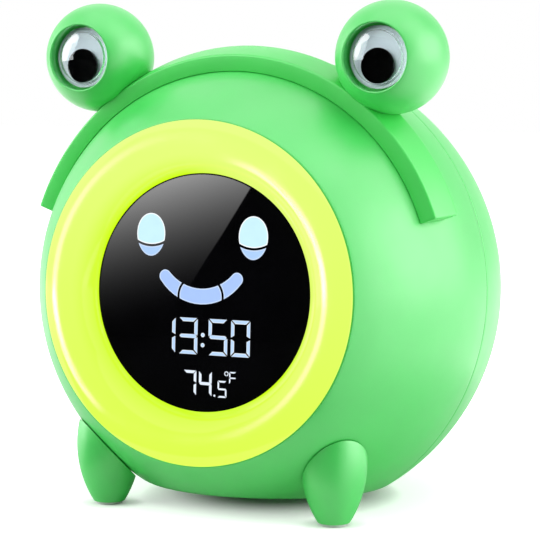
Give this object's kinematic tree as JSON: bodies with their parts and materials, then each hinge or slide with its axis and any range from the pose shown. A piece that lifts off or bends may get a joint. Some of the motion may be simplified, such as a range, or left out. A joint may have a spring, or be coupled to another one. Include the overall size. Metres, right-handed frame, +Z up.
{
  "type": "kids alarm clock with night light",
  "caption": "Ball-shaped bedside alarm clock for children with a glowing ring round its display, wiggle eyes on a headband and stub legs.",
  "frame": {"origin": "on the table under the middle of the clock's box", "axes": "+Z up; the display faces -Y, leaning back by 2.8 degrees; +X is to the right of someone who looks at the display"},
  "size_m": [0.12, 0.1002, 0.1283],
  "materials": {
    "shell_green": "fine satin moulded plastic",
    "bright_green": "fine satin moulded plastic, a little deeper in colour",
    "button_green": "smooth moulded plastic",
    "ring_diffuser": "glossy translucent plastic, lit from inside",
    "black_gloss": "gloss black plate",
    "icon_white": "milky plate, lit from behind",
    "white_plastic": "plain moulded plastic",
    "circuit_board": "solder resist over copper",
    "led_package": "small white lamp with a yellow phosphor",
    "black_plastic": "fine black plastic",
    "eye_white": "white backing disc",
    "pupil_black": "gloss black disc",
    "clear_dome": "clear plastic",
    "pad_rubber": "soft pale rubber",
    "steel": "zinc-plated",
    "speaker_paper": "coated paper",
    "magnet": "dark nickel plating",
    "cell_wrap": "heat-shrink sleeve",
    "red_wire": "wire insulation",
    "black_wire": "wire insulation",
    "grey_wire": "wire insulation"
  },
  "bodies": {
    "root": {"front_shell": "shell_green", "rear_shell": "shell_green", "light_ring": "ring_diffuser", "display_face": "black_gloss", "icon_diffuser": "icon_white", "display_reflector": "white_plastic", "display_board": "circuit_board", "display_leds": "led_package", "ring_board": "circuit_board", "ring_leds": "led_package", "inner_frame": "white_plastic", "main_board": "circuit_board", "board_components": "black_plastic", "headband": "bright_green", "left_eyeball": "bright_green", "right_eyeball": "bright_green", "left_eye_white": "eye_white", "right_eye_white": "eye_white", "left_eye_dome": "clear_dome", "right_eye_dome": "clear_dome", "left_leg": "shell_green", "right_leg": "shell_green", "left_foot_pad": "pad_rubber", "right_foot_pad": "pad_rubber", "rear_foot_pads": "pad_rubber", "slide_switch": "steel", "button_board": "circuit_board", "tact_switches": "black_plastic", "charge_socket": "steel", "temperature_sensor": "black_plastic", "speaker_basket": "steel", "speaker_cone": "speaker_paper", "speaker_magnet": "magnet", "battery_cell": "cell_wrap", "battery_cradle": "white_plastic", "case_screws": "steel", "frame_screws": "steel", "main_board_screws": "steel", "button_board_screws": "steel", "eye_screws": "steel", "leg_screws": "steel", "battery_lead": "red_wire", "speaker_lead": "black_wire", "button_ribbon": "grey_wire"},
    "left_pupil": {"left_pupil": "pupil_black"},
    "right_pupil": {"right_pupil": "pupil_black"},
    "light_button": {"light_button": "button_green"},
    "down_button": {"down_button": "button_green"},
    "mode_button": {"mode_button": "button_green"},
    "up_button": {"up_button": "button_green"},
    "alarm_button": {"alarm_button": "button_green"},
    "power_knob": {"power_knob": "black_plastic"}
  },
  "joints": [
    {"name": "left_pupil_roll", "type": "hinge", "parent": "root", "child": "left_pupil", "pos_m": [-0.04123, -0.02083, 0.1143], "axis": [0, -1, 0], "continuous": true},
    {"name": "right_pupil_roll", "type": "hinge", "parent": "root", "child": "right_pupil", "pos_m": [0.04123, -0.02083, 0.1143], "axis": [0, -1, 0], "continuous": true},
    {"name": "light_press", "type": "slide", "parent": "root", "child": "light_button", "axis": [0, -0.9988, 0.0489], "range_m": [0, 0.001], "stiffness_N_per_m": 900},
    {"name": "down_press", "type": "slide", "parent": "root", "child": "down_button", "axis": [0, -0.9988, 0.0489], "range_m": [0, 0.001], "stiffness_N_per_m": 900},
    {"name": "mode_press", "type": "slide", "parent": "root", "child": "mode_button", "axis": [0, -0.9988, 0.0489], "range_m": [0, 0.001], "stiffness_N_per_m": 900},
    {"name": "up_press", "type": "slide", "parent": "root", "child": "up_button", "axis": [0, -0.9988, 0.0489], "range_m": [0, 0.001], "stiffness_N_per_m": 900},
    {"name": "alarm_press", "type": "slide", "parent": "root", "child": "alarm_button", "axis": [0, -0.9988, 0.0489], "range_m": [0, 0.001], "stiffness_N_per_m": 900},
    {"name": "power_slide", "type": "slide", "parent": "root", "child": "power_knob", "axis": [1, 0, 0], "range_m": [0, 0.0024]}
  ]
}
